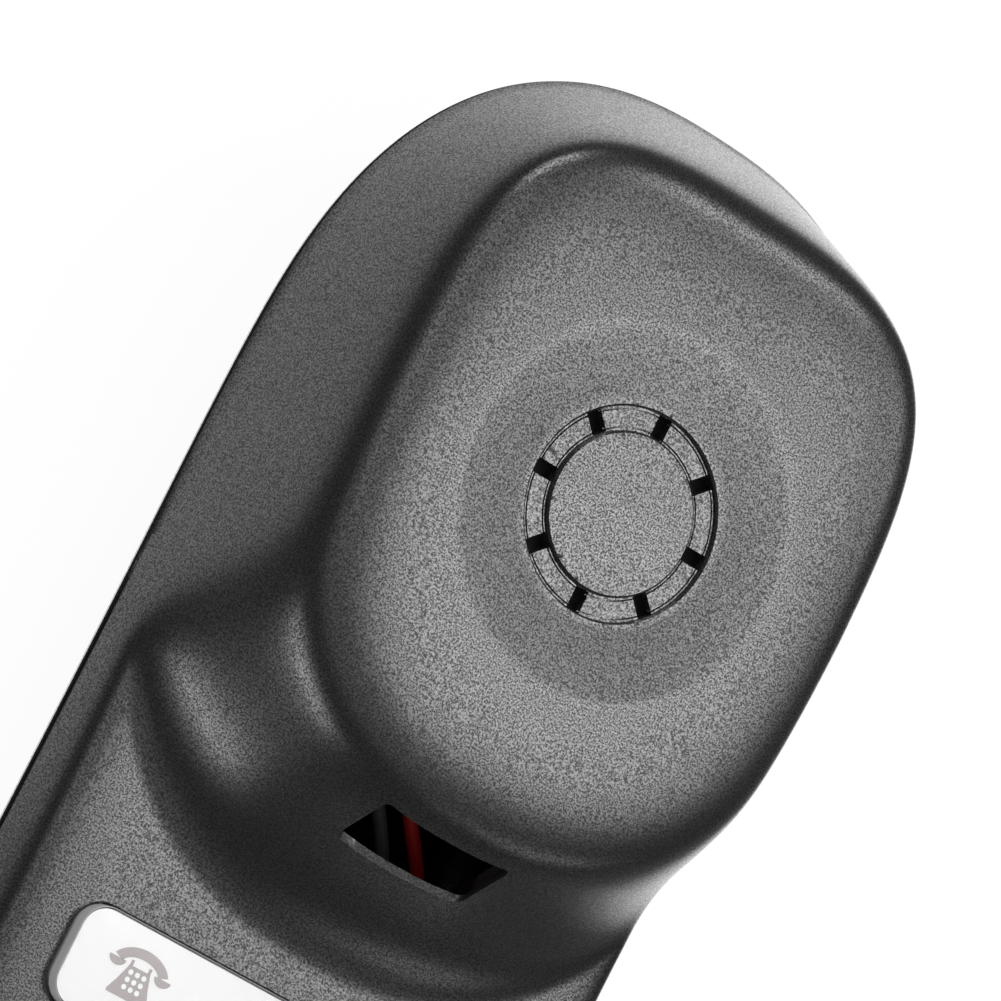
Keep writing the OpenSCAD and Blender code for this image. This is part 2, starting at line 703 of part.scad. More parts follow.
// Bar screwed over the back of the receiver
module receiver_clamp() {
    color([0.2, 0.2, 0.2]) translate([0, ring_y, 0]) difference() {
        translate([0, 0, receiver_bot - clamp_t])
            slab(2 * (clamp_x + clamp_post_r), clamp_w, clamp_t, clamp_post_r);
        disc(clamp_w / 4, 0, ear_h);
        at_pairs(clamp_x, [0]) disc(small_d / 2 + screw_gap, 0, ear_h);
    }
}
// Pan-head screw with its head below z = 0 and a cross slot
module screw(d, head_d, head_h, l) {
    difference() {
        union() {
            translate([0, 0, -head_h]) cylinder(d = head_d, h = head_h);
            cylinder(d = d, h = l);
        }
        for (a = [0, 90]) rotate(a)
            translate([-head_d / 3, -head_d / 14, -head_h - 1])
                cube([head_d * 2 / 3, head_d / 7, 1 + head_h / 2]);
    }
}
module clamp_screws() {
    color("silver") translate([0, ring_y, receiver_bot - clamp_t]) at_pairs(clamp_x, [0])
        screw(small_d, small_head_d, small_head_h, clamp_t + small_thread);
}
module board_screws() {
    color("silver") translate([0, 0, board_bot]) at_pairs(board_hole_x, [board_hole_y1, board_hole_y0])
        screw(small_d, small_head_d, small_head_h, board_t + small_thread);
}
module case_screws() {
    color("silver") translate([0, 0, seat_z]) at_pairs(boss_x, [boss_y1, boss_y0])
        screw(screw_d, screw_head_d, screw_head_h, screw_l);
}

// Round wire along a list of points
function unit(v) = v / norm(v);
module wire(path, d) {
    sides = 6;
    n = len(path);
    rings = [for (i = [0:n - 1])
        let (t = unit(path[min(i + 1, n - 1)] - path[max(i - 1, 0)]),
            a = unit(cross(t, abs(t[0]) > 0.9 ? [0, 0, 1] : [1, 0, 0])), b = cross(t, a))
        each [for (k = [0:sides - 1])
            path[i] + d / 2 * (cos(360 * k / sides) * a + sin(360 * k / sides) * b)]];
    walls = [for (i = [0:n - 2], k = [0:sides - 1])
        let (p = i * sides + k, q = i * sides + (k + 1) % sides)
        each [[p, p + sides, q + sides], [p, q + sides, q]]];
    ends = [for (k = [1:sides - 2]) each [[0, k, k + 1],
        [(n - 1) * sides, (n - 1) * sides + k + 1, (n - 1) * sides + k]]];
    polyhedron(rings, concat(walls, ends), convexity = 4);
}
// Smooth curve through four corner points
function bezier(p, t) = let (u = 1 - t)
    u * u * u * p[0] + 3 * u * u * t * p[1] + 3 * u * t * t * p[2] + t * t * t * p[3];
module curved_wire(p, d) { wire([for (i = [0:10]) bezier(p, i / 10)], d); }
wire_d = 1.2;
tab_t = 0.5;
tab_x = 3;
tab_l = 4;
tab_in = 0.8;
// Receiver wires, side by side: from the solder tabs in a loose S past the hang slot to the board
wire_run = 22;
wire_back = 19;
wire_rise = 4;
wire_end = 2;
red_sway = [-13, 18];
red_end = 2;
grey_sway = [-7.5, 14.7];
grey_end = -0.5;
wire_gap = 0.05;
module receiver_wire(x, sway, stop_x) {
    start = [x, ring_y - receiver_d / 2 * tab_in + tab_l / 2, receiver_bot - tab_t - wire_d / 2 - wire_gap];
    stop = [stop_x, board_y1 - wire_end, board_top + wire_d / 2 + wire_gap];
    curved_wire([start, start + [sway[0], -wire_run, 0], stop + [sway[1], wire_back, wire_rise], stop],
        wire_d);
}
module receiver_wire_red() { color("firebrick") receiver_wire(tab_x, red_sway, red_end); }
module receiver_wire_grey() { color("gray") receiver_wire(-tab_x, grey_sway, grey_end); }

module microphone() {
    color("silver") translate([0, mic_y, boot_top - 0.8 - mic_h]) {
        difference() {
            cylinder(d = mic_d, h = mic_h);
            translate([0, 0, -1]) cylinder(d = mic_d - 1.6, h = 1.5);
        }
    }
}
module microphone_boot() {
    color([0.1, 0.1, 0.1]) translate([0, mic_y, 0]) difference() {
        disc(boot_r, boot_top - boot_h, boot_top);
        disc(mic_d / 2 + 0.1, 0, boot_top - 0.8);
        disc(mic_d / 4, 0, boot_top + 1);
    }
}
mic_wire_x = 1.5;
mic_wire_run = 10;
mic_wire_drop = 3;
mic_wire_back = 6;
module microphone_wires() {
    z = boot_top - 0.8 - mic_h + 0.5 - wire_d / 2 - wire_gap;
    low = board_top + wire_d / 2 + wire_gap;
    color([0.5, 0.5, 0.52]) for (s = [-1, 1])
        curved_wire([[s * mic_wire_x, mic_y, z], [s * mic_wire_x, mic_y + mic_wire_run, z - mic_wire_drop],
            [s * wire_end, board_y0 - mic_wire_back, low + wire_end],
            [s * wire_end, board_y0 + wire_end, low]], wire_d);
}

// Modular jack: open to the mouth tip, with its spring contacts along the top
module modular_jack() {
    color([0.15, 0.15, 0.16]) translate([0, jack_y, jack_z]) difference() {
        translate([-jack_w / 2, 0, 0]) cube([jack_w, jack_l, jack_h]);
        translate([-plug_w / 2, -1, plug_z - jack_z]) cube([plug_w, plug_l + 1, plug_h]);
    }
}
module jack_contacts() {
    top = plug_z + plug_h - contact_d / 2 - 0.1;
    color("gold") for (i = [0:3]) translate([(i - 1.5) * contact_dx, 0, 0])
        wire([[0, jack_y + 1, top], [0, jack_y + plug_l / 2, top - 0.7], [0, jack_y + plug_l - 0.1, top]],
            contact_d);
}
line_dx = 2;
line_spread = 1.6;
line_run = 12;
line_back = 8;
line_drop = 3;
module line_wires() {
    z = jack_z + jack_h / 2;
    y = jack_y + jack_l + 0.1;
    low = board_bot - wire_d / 2 - wire_gap;
    color([0.3, 0.5, 0.3]) for (i = [0:3]) let (x = (i - 1.5) * line_dx, far = x * line_spread)
        curved_wire([[x, y, z], [x, y + line_run, z], [far, board_y0 - line_back, low - line_drop],
            [far, board_y0 + wire_end, low]], wire_d);
}

front_shell();
rear_shell();
number_window();
number_card();
number_key(0);  // key_1
number_key(1);  // key_2
number_key(2);  // key_3
number_key(3);  // key_4
number_key(4);  // key_5
number_key(5);  // key_6
number_key(6);  // key_7
number_key(7);  // key_8
number_key(8);  // key_9
number_key(9);  // key_star
number_key(10);  // key_0
number_key(11);  // key_hash
func_key(0);  // key_mute
func_key(1);  // key_flash
func_key(2);  // key_redial
keypad_mat();
main_board();
dialler_chip();
capacitors();
crystal();
receiver();
receiver_gasket();
receiver_clamp();
clamp_screws();
receiver_wire_red();
receiver_wire_grey();
microphone();
microphone_boot();
microphone_wires();
modular_jack();
jack_contacts();
line_wires();
case_screws();
board_screws();
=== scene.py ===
"""Looks of a corded telephone handset with its keypad in the grip.

Lengths are millimetres until a mesh is made, in the frame of the CAD part: the handset lies on its
back, the ear end points along +Y and the face looks along +Z.
"""

import bpy
import numpy as np
from mathutils import Matrix, Vector


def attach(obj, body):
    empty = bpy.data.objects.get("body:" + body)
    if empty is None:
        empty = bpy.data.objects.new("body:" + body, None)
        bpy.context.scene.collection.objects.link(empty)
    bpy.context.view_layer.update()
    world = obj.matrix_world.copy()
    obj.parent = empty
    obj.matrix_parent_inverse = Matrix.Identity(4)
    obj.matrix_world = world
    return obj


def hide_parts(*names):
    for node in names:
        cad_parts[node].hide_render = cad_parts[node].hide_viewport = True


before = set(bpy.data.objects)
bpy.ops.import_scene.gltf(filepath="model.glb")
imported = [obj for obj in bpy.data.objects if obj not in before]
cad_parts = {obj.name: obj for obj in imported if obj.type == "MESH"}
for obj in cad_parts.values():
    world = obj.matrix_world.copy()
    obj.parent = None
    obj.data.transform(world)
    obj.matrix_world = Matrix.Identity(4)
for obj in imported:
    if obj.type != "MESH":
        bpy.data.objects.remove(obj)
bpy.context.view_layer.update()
MM = 0.001

# Sizes shared with the CAD source
BODY_L = 205
EAR_Y = 70.3
MOUTH_Y = -72
EAR_H = 34
MOUTH_H = 26
FACE_H = 18.5
WALL = 2
GRIP_W = 52.8
EAR_W = 54.4
MOUTH_W = 53.6
PART_MID = 12.9
PART_RISE = 6.7
PART_GAP = 0.3
LIP_GAP = 0.25
LIP_H = 0.8
LIP_T = 1
REAR_LAND = 0.8
GRIP_SLOPE = 4.3
FLANK_SLOPE = 1.6
BACK_FLAT = 48
SWELL = 5.5
GRIP_EDGE = 2.4
EAR_EDGE = 3.4
# Ends: middle, half width, half length, run of the wall at the side and at the tip, height
EAR_END = (EAR_Y, EAR_W / 2, 32.2, 4.2, 6.4, EAR_H)
MOUTH_END = (MOUTH_Y, MOUTH_W / 2, 30.5, 2.4, 6.5, MOUTH_H)
# Mounds: middle, half width, half length to the grip, height, half length to the tip
EAR_MOUND = (EAR_Y, 24.4, 28.6, EAR_H, 34.2)
MOUTH_MOUND = (MOUTH_Y, MOUTH_W / 2 - 1.2, 20, MOUTH_H, 31)
RING_Y = 69.5
RING_R = 8.4
RING_IN = 6.5
DISH_R = 14.8
SLOT_W = 12.2
SLOT_LOW = 25.6
SLOT_TOP = 31.0
WINDOW_Y = 21.15
WINDOW_W = 39
WINDOW_L = 8.7
WINDOW_R = 2.3
LENS_W = 38.7
LENS_L = 8.4
LENS_R = 2.15
LENS_LOW = 17.3
LENS_TOP = 19.8
CARD_LOW = 17.0
KEY_Y = 8
FUNC_Y = -41
KEY_W = 11
KEY_L = 8
FUNC_L = 5
KEY_DX = 14
KEY_DY = 12.5
KEY_TOP = 20.7
KEY_R = 1.6
KEY_HOLE = 0.7
WIRE_D = 1.2
WELL_R = 2.85
BOSS = [(-12, 33.5), (12, 33.5), (-12, -56.5), (12, -56.5)]

# Detail of the scene alone
RIM_BEVEL = 0.12
DISH_DEPTH = 0.75
DISH_RUN = 6
RING_DEPTH = 0.38
RING_BEVEL = 0.2
LINE_W = 0.13
SLOT_LIP_Y = 39.2
SLOT_RISE = 0.13
SLOT_WALL = 0.6
LENS_EDGE = 0.15
COVER_TOP = 0.2
COVER_SIDE = 0.14
CARD_GAP = 0.2
CARD_TOP = 19.55
KEY_EDGE = 0.7
INK = 0.02


def smooth_max(a, b, k):
    """The larger of two heights with a hyperbola of width k between them."""
    return (a + b + np.sqrt((a - b) ** 2 + k * k)) / 2


def smooth_min(a, b, k):
    """The smaller of two heights with a hyperbola of width k between them."""
    return (a + b - np.sqrt((a - b) ** 2 + k * k)) / 2


def fillet_max(a, b, k):
    """The larger of two heights with a parabolic fillet that ends where they differ by k."""
    return np.maximum(a, b) + np.maximum(k - abs(a - b), 0) ** 2 / (4 * k)


def ease(t):
    """Cubic step from 0 to 1."""
    u = np.clip(t, 0, 1)
    return u * u * (3 - 2 * u)


def lerp(a, b, t):
    """Straight mix of a and b."""
    return a + (b - a) * t


def oval_r(s, c, a, b, n):
    """Radius of a superellipse with half axes a and b along the direction (s, c)."""
    return ((abs(s) / a) ** n + (abs(c) / b) ** n) ** (-1 / n)


def half_w(y):
    """Half width of the outline: a waist that swells to both ends by a power."""
    end = np.where(y > 0, EAR_W, MOUTH_W)
    s = np.minimum(1, np.where(y > 0, y / EAR_Y, y / MOUTH_Y))
    return GRIP_W / 2 + (end - GRIP_W) / 2 * s ** SWELL * (1 + SWELL * (1 - s))


def part_z(y):
    """Height of the parting line, a parabola along the handset."""
    return PART_MID + PART_RISE * (2 * y / BODY_L) ** 2


def belly_z(y):
    """Height of the back: flat in the middle, then a parabola up to both tips."""
    return 7 * (np.maximum(abs(y) - BACK_FLAT, 0) / (BODY_L / 2 - BACK_FLAT)) ** 2


def end_of(y):
    """Values of the end that a point belongs to, as arrays."""
    return [np.where(y > 0, a, b) for a, b in zip(EAR_END, MOUTH_END)]


def end_out(e, s, c):
    """Outline radius of an end, a superellipse of exponent 2.5."""
    return oval_r(s, c, e[1], e[2], 2.5)


def end_run(e, s, c):
    """Plan width of the sloping wall of an end."""
    return end_out(e, s, c) - oval_r(s, c, e[1] - e[3], e[2] - e[4], 3.3)


def end_slope(e, s, c):
    """Steepness of the wall of an end."""
    return (e[5] - part_z(e[0] + end_out(e, s, c) * c)) / end_run(e, s, c)


def wall_slope(y):
    """Steepness of the side wall between the ends."""
    e = end_of(y)
    return lerp(GRIP_SLOPE, end_slope(e, 1.0, 0.0), np.minimum(1, y / e[0]))


def polar(x, y, e):
    """Radius and direction of a point seen from the middle of its end."""
    r = np.maximum(np.hypot(x, y - e[0]), 1e-6)
    return r, x / r, (y - e[0]) / r


def wall_z(x, y, t):
    """Height of the side wall, t inside its outer face: a straight slope off the parting line."""
    e = end_of(y)
    r, s, c = polar(x, y, e)
    out = end_out(e, s, c)
    tip = part_z(e[0] + out * c) + (out - t - r) * end_slope(e, s, c)
    side = part_z(y) + (half_w(y) - t - abs(x)) * wall_slope(y)
    return np.where((y <= EAR_Y) & (y >= MOUTH_Y), side, tip)


def mound_z(x, y, m, t):
    """Height of a mound with a superellipse plan, a rounded rim and sloping walls."""
    d = y - m[0]
    r = np.maximum(np.hypot(x, d), 0.01)
    s = x / r
    c = np.sqrt(1 - s * s)
    to_tip = d * m[0] > 0
    half_l = np.where(to_tip, m[4], m[2])
    rim = oval_r(s, c, m[1] - 0.7 * t, half_l - 0.7 * t, np.where(to_tip, 2.85, 2.4))
    return m[3] - t - smooth_max(0, (r - rim) * lerp(2.1, 4.2, s ** 8), 4)


def top_z(x, y, t):
    """Height of the top: grip face, ear cup and mouth mound, joined by fillets."""
    k = lerp(12.5, 3.5, (abs(x) / half_w(y)) ** 3)
    ear = fillet_max(FACE_H - t, mound_z(x, y, EAR_MOUND, t), k)
    return fillet_max(ear, mound_z(x, y, MOUTH_MOUND, t), 9)


def front_z(x, y, t):
    """Outer face of the front housing at t = 0, with a cone for the dish, or its inner face at t = WALL."""
    end = np.where(y > 0, EAR_Y, -MOUTH_Y)
    edge = np.where(y > 0, EAR_EDGE, GRIP_EDGE)
    k = lerp(GRIP_EDGE, edge, ease((abs(y) - end + 26) / 16)) * (1 if t == 0 else 0.2)
    dish = DISH_DEPTH * np.clip((DISH_R - np.hypot(x, y - RING_Y)) / DISH_RUN, 0, 1)
    return smooth_min(wall_z(x, y, t), top_z(x, y, t), k) - (dish if t == 0 else 0)


def rear_z(x, y, t):
    """Outer face of the rear housing at t = 0, its inner face at t = WALL."""
    e = end_of(y)
    r, s, c = polar(x, y, e)
    out = end_out(e, s, c)
    tip = part_z(e[0] + out * c) - (out - t - r) * lerp(FLANK_SLOPE, 2.5, c * c)
    side = part_z(y) - (half_w(y) - t - abs(x)) * FLANK_SLOPE
    flank = np.where((y <= EAR_Y) & (y >= MOUTH_Y), side, tip)
    return fillet_max(belly_z(y) + t, flank - REAR_LAND, 6)


def make(name, points, tris, materials=(), body="handset", smooth=35):
    """Mesh object at the origin from points in millimetres and triangles.

    Edges where faces turn by more than `smooth` degrees are sharp.
    """
    mesh = bpy.data.meshes.new(name)
    points = np.asarray(points, float) * MM
    tris = np.asarray(tris, np.int32)
    mesh.vertices.add(len(points))
    mesh.vertices.foreach_set("co", points.ravel())
    mesh.loops.add(tris.size)
    mesh.loops.foreach_set("vertex_index", tris.ravel())
    mesh.polygons.add(len(tris))
    mesh.polygons.foreach_set("loop_start", np.arange(0, tris.size, 3, dtype=np.int32))
    mesh.update(calc_edges=True)
    mesh.validate()
    obj = bpy.data.objects.new(name, mesh)
    bpy.context.scene.collection.objects.link(obj)
    for m in materials:
        mesh.materials.append(m)
    shade(obj, smooth)
    if body:
        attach(obj, body)
    return obj


def shade(obj, angle):
    """Smooth shading with sharp edges where faces turn by more than the angle."""
    obj.data.polygons.foreach_set("use_smooth", np.ones(len(obj.data.polygons), bool))
    obj.data.set_sharp_from_angle(angle=np.radians(angle))


def weld(points, tris):
    """Joins equal points, drops triangles without area, turns the faces outwards by the signed volume."""
    _, first, back = np.unique(np.round(points, 5), axis=0, return_index=True, return_inverse=True)
    tris = back.ravel()[tris]
    a, b, c = tris.T
    tris = tris[(a != b) & (b != c) & (c != a)]
    p = points[first]
    volume = np.einsum("ij,ij->i", p[tris[:, 0]], np.cross(p[tris[:, 1]], p[tris[:, 2]])).sum()
    return p, tris if volume > 0 else tris[:, ::-1]


def sheet(rows, closed=True):
    """Points and triangles of a surface given as rows of points, where each row can be a closed loop."""
    rows = np.asarray(rows, float)
    n, m = rows.shape[:2]
    i, j = np.meshgrid(np.arange(n - 1), np.arange(m if closed else m - 1), indexing="ij")
    a = (i * m + j).ravel()
    b = (i * m + (j + 1) % m).ravel()
    tris = np.concatenate([np.stack([a, b, b + m], 1), np.stack([a, b + m, a + m], 1)])
    return rows.reshape(-1, 3), tris


def join(parts):
    """One list of points and triangles from several."""
    points, tris, n = [], [], 0
    for p, t in parts:
        points.append(p)
        tris.append(t + n)
        n += len(p)
    return np.concatenate(points), np.concatenate(tris)


def loop(w, l, r, z, n=9, m=7):
    """Rounded rectangle at height z: four corner arcs of n points, each side cut into m steps."""
    a = np.linspace(0, np.pi / 2, n)
    out = []
    for k, (sx, sy) in enumerate([(1, 1), (-1, 1), (-1, -1), (1, -1)]):
        t = a + k * np.pi / 2
        arc = np.stack([sx * (w / 2 - r) + r * np.cos(t), sy * (l / 2 - r) + r * np.sin(t)], 1)
        out.append(arc)
    full = []
    for k in range(4):
        p, q = out[k][-1], out[(k + 1) % 4][0]
        side = p + (q - p) * (np.arange(1, m) / m)[:, None]
        full += [out[k], side]
    flat = np.concatenate(full)
    return np.column_stack([flat, np.full(len(flat), z)])


def capped(rows):
    """Closed solid from rows of a loop: the first and last row are closed on their middle points."""
    ends = [np.broadcast_to(r.mean(0), r.shape) for r in (rows[0], rows[-1])]
    return weld(*sheet([ends[0], *rows, ends[1]]))


def block(w, l, r, steps, at=(0, 0)):
    """Closed solid from rounded rectangles; steps lists (height, growth) from the bottom up."""
    rows = [loop(w + 2 * g, l + 2 * g, max(r + g, 0.05), z) for z, g in steps]
    points, tris = capped(rows)
    return points + [at[0], at[1], 0], tris


def lathe(profile, at, n=96):
    """Closed solid of revolution about a vertical axis; the profile lists (radius, height)."""
    a = np.linspace(0, 2 * np.pi, n, endpoint=False)
    rows = [np.column_stack([r * np.cos(a), r * np.sin(a), np.full(n, z)]) for r, z in profile]
    points, tris = weld(*sheet(rows))
    return points + [at[0], at[1], 0], tris


def ring(profile, at, n=96):
    """Closed solid of revolution from a closed profile that doesn't touch its axis."""
    return lathe([*profile, profile[0]], at, n)


def tube(path, d, sides=18):
    """Round tube along a smooth path, closed on both ends."""
    path = np.asarray(path, float)
    t = np.gradient(path, axis=0)
    t /= np.linalg.norm(t, axis=1)[:, None]
    a = np.cross(t, [0.3, 0.1, 1.0])
    a /= np.linalg.norm(a, axis=1)[:, None]
    b = np.cross(t, a)
    k = np.linspace(0, 2 * np.pi, sides, endpoint=False)
    rows = path[:, None] + d / 2 * (np.cos(k)[:, None] * a[:, None] + np.sin(k)[:, None] * b[:, None])
    return capped(list(rows))


def bezier(p, n=70):
    """Cubic curve through its first and last corner point."""
    t = np.linspace(0, 1, n)[:, None]
    p = np.asarray(p, float)
    u = 1 - t
    return u ** 3 * p[0] + 3 * u * u * t * p[1] + 3 * u * t * t * p[2] + t ** 3 * p[3]


def carve(obj, sets):
    """Cuts sets of closed solids out of an object and keeps the result as its mesh."""
    for k, parts in enumerate(sets):
        cutter = make(f"cutter_{k}", *join(parts), body=None)
        mod = obj.modifiers.new("cut", "BOOLEAN")
        mod.operation = "DIFFERENCE"
        mod.solver = "MANIFOLD"
        mod.object = cutter
        graph = bpy.context.evaluated_depsgraph_get()
        result = bpy.data.meshes.new_from_object(obj.evaluated_get(graph))
        obj.modifiers.clear()
        obj.data = result
        bpy.data.objects.remove(cutter)
    shade(obj, 32)


def read_mesh(mesh):
    """Points and triangles of a mesh as arrays."""
    mesh.calc_loop_triangles()
    p = np.empty(len(mesh.vertices) * 3)
    mesh.vertices.foreach_get("co", p)
    t = np.empty(len(mesh.loop_triangles) * 3, np.int32)
    mesh.loop_triangles.foreach_get("vertices", t)
    return p.reshape(-1, 3), t.reshape(-1, 3)


def add_parts(obj, parts):
    """Adds closed solids to an object's mesh."""
    extra = make("extra", *join(parts), body=None)
    points, tris = join([read_mesh(o.data) for o in (obj, extra)])
    whole = make(obj.name + "_whole", points / MM, tris, body=None)
    for m in obj.data.materials:
        whole.data.materials.append(m)
    obj.data = whole.data
    bpy.data.objects.remove(extra)
    bpy.data.objects.remove(whole)


# Stations round the outline: right side from the ear tip to the mouth tip, then back on the left
def stations():
    """Outline points, middle points, wall runs and wall slopes of the stations round the outline."""
    ear = np.radians(np.linspace(0, 90, 85)[:-1])
    mouth = np.radians(np.linspace(90, 0, 49)[1:])
    y = np.concatenate([np.linspace(EAR_Y, EAR_Y - 50, 121)[:-1],
                        np.linspace(EAR_Y - 50, MOUTH_Y + 30, 45)[:-1],
                        np.linspace(MOUTH_Y + 30, MOUTH_Y, 61)])

    def fan(e, angle):
        s = np.sin(angle)
        c = np.cos(angle) * np.sign(e[0])
        out = end_out(e, s, c)
        return np.column_stack([s * out, e[0] + c * out, np.full(len(s), e[0]),
                                end_run(e, s, c), end_slope(e, s, c)])

    e = end_of(y)
    s = ease((abs(y) - abs(e[0]) + 30) / 24)
    run = lerp((FACE_H - PART_MID) / GRIP_SLOPE, end_run(e, 1.0, 0.0), s)
    side = np.column_stack([half_w(y), y, y, run, wall_slope(y)])
    right = np.concatenate([fan(EAR_END, ear), side, fan(MOUTH_END, mouth)])
    left = right[-2:0:-1] * [-1, 1, 1, 1, 1]
    return np.concatenate([right, left])


STATION = stations()
OUT = STATION[:, :2]
MIDDLE = np.column_stack([np.zeros(len(STATION)), STATION[:, 2]])
RUN = STATION[:, 3]
SLOPE = STATION[:, 4]
LENGTH = np.linalg.norm(MIDDLE - OUT, axis=1)
EDGE_Z = part_z(OUT[:, 1])


def plan(d):
    """Plan points of all stations, d inside the outline."""
    p = OUT + (MIDDLE - OUT) * (d / LENGTH)[:, None]
    p[d >= LENGTH] = MIDDLE[d >= LENGTH]
    return p


def skin(height, near, inset, step, inside):
    """Rows of a skin: `near` steps of each station's own step from the outline, then on to the middle."""
    rows = []
    deep = inset + near[-1] * step
    for d in [inset + g * step for g in near] + [lerp(deep, LENGTH, g) for g in inside]:
        p = plan(d)
        rows.append(np.column_stack([p, height(p[:, 0], p[:, 1])]))
    return rows


def rim(d, dz):
    """One row at the parting line, d inside the outline and dz above it."""
    return np.column_stack([plan(np.broadcast_to(d, LENGTH.shape)), EDGE_Z + dz])


# Materials
def group(name, inputs, outputs):
    """Empty shader node group with the sockets listed as (name, type)."""
    g = bpy.data.node_groups.new(name, "ShaderNodeTree")
    for way, sockets in (("INPUT", inputs), ("OUTPUT", outputs)):
        for socket, kind in sockets:
            g.interface.new_socket(name=socket, in_out=way, socket_type=kind)
    return g, g.nodes.new("NodeGroupInput"), g.nodes.new("NodeGroupOutput")


def node(tree, kind, **values):
    """New node with its properties set and its inputs given by name or index, as values or links."""
    n = tree.nodes.new(kind)
    links = values.pop("inputs", {})
    for k, v in values.items():
        setattr(n, k, v)
    for k, v in links.items():
        if isinstance(v, bpy.types.NodeSocket):
            tree.links.new(v, n.inputs[k])
        else:
            n.inputs[k].default_value = v
    return n


def math(tree, op, a, b=0.0, c=0.0):
    """Output of a math node."""
    return node(tree, "ShaderNodeMath", operation=op, inputs={0: a, 1: b, 2: c}).outputs[0]


def mix(tree, fac, a, b):
    """Output of a colour mix."""
    return node(tree, "ShaderNodeMix", data_type="RGBA", inputs={0: fac, 6: a, 7: b}).outputs[2]


def noise(tree, place, scale, **values):
    """Output of a noise texture."""
    inputs = {"Vector": place, "Scale": scale, **values}
    return node(tree, "ShaderNodeTexNoise", inputs=inputs).outputs["Fac"]


def ramp(tree, value, low, high, start, stop, kind="LINEAR"):
    """Output of a map from the range low to high onto the range start to stop."""
    inputs = {0: value, 1: low, 2: high, 3: start, 4: stop}
    return node(tree, "ShaderNodeMapRange", interpolation_type=kind, inputs=inputs).outputs[0]


def object_place(tree):
    """Object coordinates."""
    return node(tree, "ShaderNodeTexCoord").outputs["Object"]


FLOAT = "NodeSocketFloat"
COLOR = "NodeSocketColor"


def grain_group():
    """Moulded grain: a worm pattern and a fine speckle that set the tint, the height and the gloss."""
    g, i, o = group("Grain", [("Color", COLOR), ("Size", FLOAT), ("Speckle", FLOAT), ("Roughness", FLOAT)],
                    [("Color", COLOR), ("Height", FLOAT), ("Roughness", FLOAT), ("Gloss", FLOAT)])
    place = object_place(g)
    size = i.outputs["Size"]
    worm = noise(g, place, size, Detail=2.0, Roughness=0.55, Distortion=0.15)
    fine = noise(g, place, math(g, "MULTIPLY", size, 2.3), Detail=1.0)
    broad = noise(g, place, 40.0, Detail=3.0)
    both = math(g, "MULTIPLY_ADD", fine, 0.45, worm)
    height = ramp(g, both, low=0.45, high=1.0, start=0.0, stop=1.0)
    offset = math(g, "SUBTRACT", height, 0.5)
    tone = math(g, "MULTIPLY_ADD", offset, i.outputs["Speckle"], 1.0)
    cloud = math(g, "MULTIPLY_ADD", math(g, "SUBTRACT", broad, 0.5), 0.12, tone)
    scaled = node(g, "ShaderNodeVectorMath", operation="SCALE",
                  inputs={0: i.outputs["Color"], "Scale": cloud})
    rough = math(g, "MULTIPLY_ADD", offset, -0.12, i.outputs["Roughness"])
    gloss = ramp(g, height, low=0.30, high=0.76, start=0.0, stop=1.0)
    results = {"Color": scaled.outputs[0], "Height": height, "Roughness": rough, "Gloss": gloss}
    for name, value in results.items():
        g.links.new(value, o.inputs[name])
    return g


GRAIN = grain_group()


def material(name):
    """New material with its tree and Principled node."""
    m = bpy.data.materials.new("look_" + name)
    m.use_nodes = True
    return m, m.node_tree, m.node_tree.nodes["Principled BSDF"]


def grained(name, color, rough, size, speckle, bump, depth, **sockets):
    """Material with the moulded grain; `sockets` sets constants on the Principled node.

    Where they give a coat, the grain's gloss is its weight.
    """
    m, t, p = material(name)
    n = node(t, "ShaderNodeGroup", node_tree=GRAIN, inputs={
        "Color": (*color, 1), "Size": size, "Speckle": speckle, "Roughness": rough})
    t.links.new(n.outputs["Color"], p.inputs["Base Color"])
    t.links.new(n.outputs["Roughness"], p.inputs["Roughness"])
    b = node(t, "ShaderNodeBump", inputs={"Strength": bump, "Distance": depth,
                                          "Height": n.outputs["Height"]})
    t.links.new(b.outputs[0], p.inputs["Normal"])
    for k, v in sockets.items():
        p.inputs[k.replace("_", " ")].default_value = v
    if "Coat_Roughness" in sockets:
        t.links.new(n.outputs["Gloss"], p.inputs["Coat Weight"])
    return m


shell = grained("shell_plastic", (0.016, 0.0153, 0.0158), 0.22, 6300.0, 0.5, 1.0, 0.000012,
                Specular_IOR_Level=0.14, Coat_Roughness=0.28, Coat_IOR=1.6)
key_plastic = grained("key_plastic", (0.030, 0.030, 0.031), 0.38, 5000.0, 0.2, 0.15, 0.00003)
legend_ink = grained("legend_ink", (0.78, 0.78, 0.76), 0.5, 6000.0, 0.1, 0.05, 0.00001)
mark_ink = grained("mark_ink", (0.30, 0.265, 0.265), 0.7, 9000.0, 0.25, 0.05, 0.00001)
paper = grained("card_white", (0.75, 0.75, 0.75), 0.7, 6000.0, 0.04, 0.08, 0.00001)
